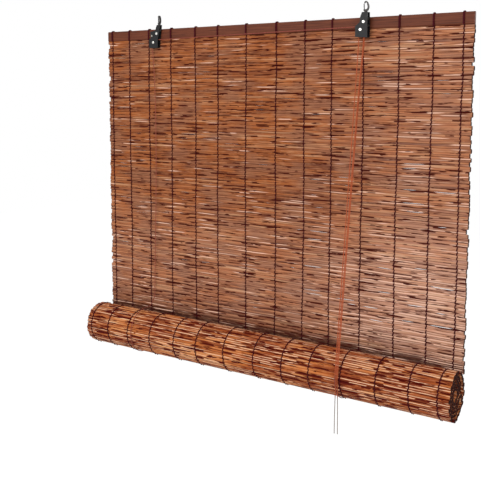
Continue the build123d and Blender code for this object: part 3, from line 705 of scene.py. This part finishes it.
def relief(tree, shader, value, depth, strength=0.5):
    """Bump from a value socket, with its depth in metres."""
    bump = add(tree, "ShaderNodeBump", (), {"Strength": strength, "Distance": depth})
    tree.links.new(value, bump.inputs["Height"])
    tree.links.new(bump.outputs["Normal"], shader.inputs["Normal"])


# %% [markdown]
# ## The reeds' finish
# The real reeds are stained stems: orange brown, each in its own tone, with dark dashes that are
# partly stain and partly painted shadow where stems part, and pale streaks that are painted
# highlights along each stem's crown. Colour by chance for each face would look like pixels, and
# one noise over the whole mat like a stained cloth. Noise that is stretched along each stem, and
# starts afresh on the next, gives each its own marks.

# %% Places along and round the stems
STEM_SHIFT = 7.3


def reed_fields(tree):
    """Sockets for painting reeds: a place along each thin stem, and where on its round it is.

    side is cos(turn), +1 and -1 at a ridge's two seams and 0 along its middle. A ridge is
    painted as two thin stems, number 2 x ridge + (side > 0), and place is (metres along,
    stem number x 7.3, side), so that no two stems share a pattern and dashes end raggedly.
    """
    uv = parts_of(tree, add(tree, "ShaderNodeUVMap", {"uv_map": "UVMap"}).outputs["UV"])
    side = calculate(tree, "COSINE", times(tree, uv["Y"], 2 * math.pi))
    lower = times(tree, calculate(tree, "GREATER_THAN", side, 0.0), STEM_SHIFT)
    ridge = times(tree, calculate(tree, "FLOOR", uv["Y"]), 2 * STEM_SHIFT)
    place = add(tree, "ShaderNodeCombineXYZ")
    tree.links.new(uv["X"], place.inputs["X"])
    tree.links.new(plus(tree, ridge, lower), place.inputs["Y"])
    tree.links.new(side, place.inputs["Z"])
    return place.outputs[0], side


# %% Tones, painted highlights, painted furrow shadows and dark dashes
TONE_STOPS = (0.34, 0.44, 0.53, 0.64)


def reed_finish(name, tones, area_tone, pale, pale_from, pale_run, pale_reach, dark, dark_from, dash_reach,
                painted_light=None):
    """Stem colours: tones along each stem, patches over several, dark dashes and pale streaks.

    A thin stem's crown is at |side| 0.5, its edges at 0 and 1. Pale streaks along the crowns are
    painted highlights. Dashes are dark stretches of a stem, partly stain and partly painted shadow
    of the gaps between stems, and furrows are painted shadows between stems, broken where the stems
    touch. The function given last may paint light and shade by the place on the blind, before
    streaks and dashes go on.
    """
    finish, tree, shader = new_finish(name)
    place, side = reed_fields(tree)
    across = calculate(tree, "ABSOLUTE", side)
    spot = object_place(tree)

    own = streaks(tree, place, (5.0, 1.0, 0.1), 3.0, 0.6)
    colour = ramp(tree, own, list(zip(TONE_STOPS, tones)))
    area = streaks(tree, spot, (9.0, 9.0, 22.0), 2.0, 0.55)
    colour = blend_colours(tree, times(tree, window(tree, area, 0.46, 0.64), 0.8), colour, area_tone)

    pales = streaks(tree, place, (pale_run, 3.1, 0.3), 2.0)
    # Painted light and shade by the place on the blind, and more painted highlights where the painted
    # backlight is strong.
    if painted_light:
        colour, painted_backlight = painted_light(tree, spot, colour)
        pales = plus(tree, pales, times(tree, painted_backlight, 0.16))
    fibres = streaks(tree, place, (60.0, 1.0, 1.5), 4.0, 0.65)
    colour = blend_colours(tree, times(tree, window(tree, fibres, 0.45, 0.80), 0.7), colour, tones[3])
    # Painted highlights: pale streaks near each thin stem's crown.
    painted_highlight = window(tree, pales, pale_from, pale_from + 0.08)
    painted_highlight = times(tree, painted_highlight, hill(tree, across, 0.48, pale_reach))
    colour = blend_colours(tree, painted_highlight, colour, pale)

    # Painted shadows in the furrows between stems, broken where the stems touch.
    depth = streaks(tree, place, (9.0, 2.3, 0.2), 2.0)
    furrows = calculate(tree, "MAXIMUM", window(tree, across, 0.16, 0.05), window(tree, across, 0.82, 0.93))
    furrows = times(tree, furrows, window(tree, depth, 0.46, 0.54))
    colour = blend_colours(tree, furrows, colour, dark)
    # Dark dashes between each crown and the seam: partly stain, partly painted shadow of the gaps between
    # stems.
    darks = streaks(tree, place, (27.0, 1.7, 0.9), 2.5)
    dashes = window(tree, darks, dark_from, dark_from + 0.025)
    dashes = times(tree, dashes, hill(tree, across, 0.65, dash_reach))
    coat(tree, shader, blend_colours(tree, dashes, colour, dark), 0.5, 0.06)
    relief(tree, shader, fibres, 0.0004, 0.4)
    return finish


# %% Painted backlight and shade on the hanging mat
BACKLIGHT_FROM_X, BACKLIGHT_FULL_X = 0.30, 0.70
BACKLIGHT_FROM_Z, BACKLIGHT_FULL_Z = -0.35, -0.60
SHADE_BAND_FROM_Z, SHADE_BAND_FULL_Z, SHADE_BAND_SHARE = -0.640, -0.700, 0.3
CREASE_FROM_Z, CREASE_FULL_Z, CREASE_SHARE = -0.690, -0.702, 0.6
FRONT_FROM_Y, FRONT_FULL_Y = 0.010, 0.006


def painted_backlight_and_shade(tree, spot, colour):
    """Paler towards the lower right as painted backlight, and painted shade in front above the roll.

    Returns the colour and the share of painted backlight at the place, 0 to 1: 0.3 right + 0.3 low
    + 0.5 right x low. The strip above the roll gets painted shade, and the crease behind the roll
    a darker painted shade still.
    """
    x, y, z = parts_of(tree, spot)
    right = window(tree, x, BACKLIGHT_FROM_X, BACKLIGHT_FULL_X)
    low = window(tree, z, BACKLIGHT_FROM_Z, BACKLIGHT_FULL_Z)
    both = times(tree, times(tree, right, low), 0.5)
    painted_backlight = plus(tree, plus(tree, times(tree, right, 0.3), times(tree, low, 0.3)), both)
    # Painted backlight: the ground colour made paler towards the lower right.
    colour = blend_colours(tree, painted_backlight, colour, srgb(172, 132, 116), "SCREEN")
    # Painted shade: a band in front above the roll, and a darker painted shade in the crease behind the roll.
    band_shade = times(tree, window(tree, z, SHADE_BAND_FROM_Z, SHADE_BAND_FULL_Z), SHADE_BAND_SHARE)
    crease = times(tree, window(tree, z, CREASE_FROM_Z, CREASE_FULL_Z), CREASE_SHARE)
    shade = times(tree, plus(tree, band_shade, crease), window(tree, y, FRONT_FROM_Y, FRONT_FULL_Y))
    return blend_colours(tree, shade, colour, srgb(62, 30, 26)), painted_backlight


hanging_finish = reed_finish(
    "reeds_hanging", [srgb(104, 54, 34), srgb(148, 84, 50), srgb(172, 98, 52), srgb(190, 134, 96)],
    area_tone=srgb(150, 98, 72), pale=srgb(236, 192, 168), pale_from=0.61, pale_run=10.0, pale_reach=0.27,
    dark=srgb(74, 18, 8), dark_from=0.56, dash_reach=0.5, painted_light=painted_backlight_and_shade)
rolled_finish = reed_finish(
    "reeds_rolled", [srgb(120, 46, 22), srgb(170, 88, 44), srgb(202, 116, 58), srgb(230, 164, 112)],
    area_tone=srgb(150, 66, 32), pale=srgb(246, 200, 164), pale_from=0.45, pale_run=6.0, pale_reach=0.22,
    dark=srgb(86, 14, 4), dark_from=0.53, dash_reach=0.7)


# %% The cut ends, dark and fibrous
def end_finish():
    """Cut reed: dark brown with a rough grain, the brown partly painted shade of the shadowed end faces."""
    finish, tree, shader = new_finish("reed_ends")
    grain = streaks(tree, object_place(tree), (900, 900, 900), 3.0)
    coat(tree, shader, ramp(tree, grain, [(0.3, srgb(38, 15, 11)), (0.7, srgb(74, 36, 26))]), 0.85, 0.1)
    relief(tree, shader, grain, 0.0003)
    return finish


reed_ends = end_finish()
for piece, finish in ((hanging_reeds, hanging_finish), (rolled_reeds, rolled_finish),
                      (rolled_core, rolled_finish)):
    piece.data.materials.append(finish)
    piece.data.materials.append(reed_ends)
    print(piece.name, "wears", finish.name)

# %% [markdown]
# ## Threads and cords
# The warp is a dark twine and the lift cords are a laid cord, orange above. On the tails that hang
# free the cord is painted pale grey, as the thin cord looks in shade against the white, and the
# left front leg is a darker copy of the cord, painted shade where it lies among the reeds. Each ply
# could be a tube of its own, but that is many triangles for what a step back hides, so slanted
# bands across the UV map, in colour and in relief, stand for the plies.

# %% Twisted finishes
OVER_THE_ROLL_TO, BELOW_THE_ROLL_FROM = 0.030, 0.034


def twisted_finish(name, dark, light, twists, gloss=0.3, upper=None):
    """A laid cord: slanted plies from a wave across the UV map, a little fuzz in the colour.

    upper is another colour for the cord's first 32 mm, where it still lies over the roll.
    """
    finish, tree, shader = new_finish(name)
    uv = add(tree, "ShaderNodeUVMap", {"uv_map": "UVMap"}).outputs["UV"]
    slant = add(tree, "ShaderNodeMapping", (), {"Scale": (twists, 2.0, 1.0)})
    tree.links.new(uv, slant.inputs["Vector"])
    wave = add(tree, "ShaderNodeTexWave", {"wave_type": "BANDS", "bands_direction": "DIAGONAL"},
               {"Scale": 1.0, "Distortion": 0.6, "Detail": 1.0})
    tree.links.new(slant.outputs[0], wave.inputs["Vector"])
    fuzz = streaks(tree, uv, (180.0, 6.0, 1.0), 3.0)
    colour = ramp(tree, wave.outputs["Fac"], [(0.15, dark), (0.75, light)])
    colour = blend_colours(tree, window(tree, fuzz, 0.35, 0.8), colour, light)
    if upper:
        below = window(tree, parts_of(tree, uv)["X"], OVER_THE_ROLL_TO, BELOW_THE_ROLL_FROM)
        colour = blend_colours(tree, below, upper, colour)
    coat(tree, shader, colour, 0.85, gloss)
    relief(tree, shader, wave.outputs["Fac"], 0.0003, 0.8)
    return finish


warp_finish = twisted_finish("warp_twine", srgb(44, 5, 12), srgb(82, 22, 30), 220.0, 0.1)
cord_finish = twisted_finish("lift_cord", srgb(140, 56, 30), srgb(202, 102, 62), 160.0)
# Painted shade: a darker copy of the cord for the left front leg, which lies among the reeds.
shaded_cord = twisted_finish("shaded_cord", srgb(124, 56, 42), srgb(164, 92, 72), 160.0)
# Painted shade: the tails are pale grey, as the thin cord looks in shade against the white, and keep the
# cord's orange over the roll.
tail_finish = twisted_finish("cord_tail", srgb(132, 118, 112), srgb(176, 164, 156), 160.0,
                             upper=srgb(166, 78, 46))
# Pieces that wear a painted-shade copy of the cord.
PAINTED_SHADE_COPIES = {"left_pull_cord_tail": tail_finish, "right_pull_cord_tail": tail_finish, "left_front_leg": shaded_cord}
for piece in threads:
    piece.data.materials.append(warp_finish)
for piece in cords:
    piece.data.materials.append(PAINTED_SHADE_COPIES.get(piece.name, cord_finish))
print(len(threads), "pieces of thread and", len(cords), "of cord dressed")

# %% [markdown]
# ## Batten, pulleys and hooks
# The batten is stained wood, the pulleys are painted sheet with bright rivets, and the hooks
# are worn metal. Their shapes are already right in the CAD, so they only get a finish. One
# colour each would look like plastic: a little grain or a few flecks in colour, roughness and
# relief catch the light as handled parts do.


# %% Wood, metal and the cords that stay CAD
def rail_finish():
    """Stained batten: brown with a fine grain along X and darker pores."""
    finish, tree, shader = new_finish("rail_batten")
    place = object_place(tree)
    grain = streaks(tree, place, (14.0, 260.0, 420.0), 4.0, 0.6)
    colour = ramp(tree, grain, [(0.3, srgb(76, 34, 16)), (0.5, srgb(100, 48, 27)), (0.75, srgb(122, 66, 40))])
    pores = streaks(tree, place, (60.0, 900.0, 1500.0), 2.0)
    colour = blend_colours(tree, window(tree, pores, 0.62, 0.74), colour, srgb(52, 22, 14))
    coat(tree, shader, colour, 0.55, 0.2)
    relief(tree, shader, grain, 0.0002, 0.35)
    return finish


def grey(value):
    """A plain number as a colour."""
    return (value, value, value, 1)


def metal_finish(name, base, worn, metallic, rough, size=900.0, share=0.62, gloss=0.5):
    """Painted or bare metal: a base with worn or stained flecks from fine noise."""
    finish, tree, shader = new_finish(name)
    flecks = streaks(tree, object_place(tree), (size, size, size), 4.0, 0.65)
    colour = blend_colours(tree, window(tree, flecks, share, share + 0.15), base, worn)
    roughness = ramp(tree, flecks, [(0.2, grey(rough - 0.1)), (0.8, grey(rough + 0.12))])
    tree.links.new(colour, shader.inputs["Base Color"])
    tree.links.new(roughness, shader.inputs["Roughness"])
    shader.inputs["Metallic"].default_value = metallic
    shader.inputs["Specular IOR Level"].default_value = gloss
    relief(tree, shader, flecks, 0.0002, 0.25)
    return finish


def held_cord_finish():
    """The cord's colours, darker than on its free runs, on Object coordinates, for the stretches that stay
    CAD.
    """
    finish, tree, shader = new_finish("lift_cord_held")
    plies = streaks(tree, object_place(tree), (700.0, 700.0, 700.0), 2.0)
    coat(tree, shader, ramp(tree, plies, [(0.35, srgb(112, 46, 34)), (0.65, srgb(160, 80, 60))]), 0.85)
    relief(tree, shader, plies, 0.0003, 0.6)
    return finish


# %% Dress the CAD pieces
black_paint = metal_finish("black_paint", srgb(18, 18, 20), srgb(46, 44, 44), 0.0, 0.45, gloss=0.25)
bright_steel = metal_finish("bright_steel", srgb(214, 212, 206), srgb(170, 166, 158), 1.0, 0.26)
screw_steel = metal_finish("screw_steel", srgb(150, 146, 138), srgb(108, 100, 90), 1.0, 0.38)
cast_metal = metal_finish("cast_cam", srgb(128, 128, 130), srgb(92, 92, 92), 1.0, 0.45)
hook_metal = metal_finish("hook_metal", srgb(44, 41, 40), srgb(110, 102, 92), 0.7, 0.4, 700.0, 0.58)
sheave_plastic = metal_finish("sheave_plastic", srgb(38, 38, 40), srgb(60, 60, 60), 0.0, 0.45)
CAD_FINISHES = (
    (rail_finish(), ("head_rail",)),
    (black_paint, ("left_pulley_housing", "right_pulley_housing")),
    (sheave_plastic, ("left_sheave", "right_back_sheave", "right_front_sheave")),
    (bright_steel, ("left_axle_rivet", "left_neck_rivet", "right_axle_rivet", "right_cam_rivet")),
    (screw_steel, ("left_pulley_screws", "right_pulley_screws", "cord_tie_screws")),
    (cast_metal, ("right_lock_cam",)),
    (hook_metal, ("left_snap_hook", "right_snap_hook", "left_hook_gate", "right_hook_gate")),
    (held_cord_finish(), ("left_cord_loop", "cord_across", "right_cord_bend", "right_cord_loop")),
)
for finish, nodes in CAD_FINISHES:
    for node in nodes:
        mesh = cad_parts[node].data
        mesh.materials.clear()
        mesh.materials.append(finish)
    print(finish.name, "on", len(nodes))

# %% [markdown]
# ## Studio
# The photograph is cut out on white, so the world is white to the camera, to glossy and to
# transmitted rays, and lights the blind more gently than it looks. The floor far below could
# be plain white too, but then the lamps make it brighter than white, and thin pale cords
# vanish before it. So it is pale grey to the light it passes on, and to the camera it is a
# darker grey with a glow that brings it just to white.

# %% World and floor
SKY_LIGHT = 0.42
FLOOR_REACH, FLOOR_LEVEL = 9, -2.15
FLOOR_UNSEEN, FLOOR_SEEN, FLOOR_GLOW = grey(0.85), grey(0.3), 0.88
WHITE = grey(1)


def seen_directly(tree):
    """1 for camera, glossy and transmission rays, 0 for the rest."""
    rays = add(tree, "ShaderNodeLightPath").outputs
    seen = calculate(tree, "MAXIMUM", rays["Is Camera Ray"], rays["Is Glossy Ray"])
    return calculate(tree, "MAXIMUM", seen, rays["Is Transmission Ray"])


world = bpy.data.worlds.new("studio")
bpy.context.scene.world = world
world.use_nodes = True
sky = world.node_tree
strength = add(sky, "ShaderNodeMapRange", (), {"To Min": SKY_LIGHT, "To Max": 1.0})
sky.links.new(seen_directly(sky), strength.inputs["Value"])
sky.nodes["Background"].inputs["Color"].default_value = WHITE
sky.links.new(strength.outputs["Result"], sky.nodes["Background"].inputs["Strength"])

floor_mesh = bpy.data.meshes.new("floor")
corners = [(x * FLOOR_REACH, y * FLOOR_REACH, FLOOR_LEVEL) for x, y in ((-1, -1), (1, -1), (1, 1), (-1, 1))]
floor_mesh.from_pydata(corners, [], [(0, 1, 2, 3)])
floor = bpy.data.objects.new("floor", floor_mesh)
bpy.context.scene.collection.objects.link(floor)
pale_floor, tree, shader = new_finish("pale_floor")
seen = seen_directly(tree)
coat(tree, shader, blend_colours(tree, seen, FLOOR_UNSEEN, FLOOR_SEEN), 0.9, 0.0)
glow = add(tree, "ShaderNodeEmission", (), {"Color": WHITE})
together = add(tree, "ShaderNodeAddShader")
tree.links.new(times(tree, seen, FLOOR_GLOW), glow.inputs["Strength"])
tree.links.new(shader.outputs["BSDF"], together.inputs[0])
tree.links.new(glow.outputs["Emission"], together.inputs[1])
tree.links.new(together.outputs["Shader"], tree.nodes["Material Output"].inputs["Surface"])
floor_mesh.materials.append(pale_floor)
print("floor", -FLOOR_LEVEL, "m below the hanging point")

# %% Lights
BLIND_MIDDLE = Vector((0.28, 0, -0.4))


def panel(name, place, size, power):
    """A square soft box at a place, turned towards the blind's middle, in metres and watts."""
    lamp = bpy.data.lights.new(name, "AREA")
    lamp.shape, lamp.size, lamp.energy = "SQUARE", size, power
    holder = bpy.data.objects.new(name, lamp)
    bpy.context.scene.collection.objects.link(holder)
    holder.location = place
    holder.rotation_euler = (BLIND_MIDDLE - Vector(place)).to_track_quat("-Z", "Y").to_euler()
    print(name, "lamp,", power, "W")


panel("key", (-0.3, -2.6, 0.9), size=1.8, power=49)
panel("fill", (2.4, -1.6, 0.0), size=1.6, power=15)
panel("behind", (0.9, 2.8, 0.8), size=1.8, power=30)

# %% Finish
bpy.context.scene.view_settings.view_transform = "Standard"
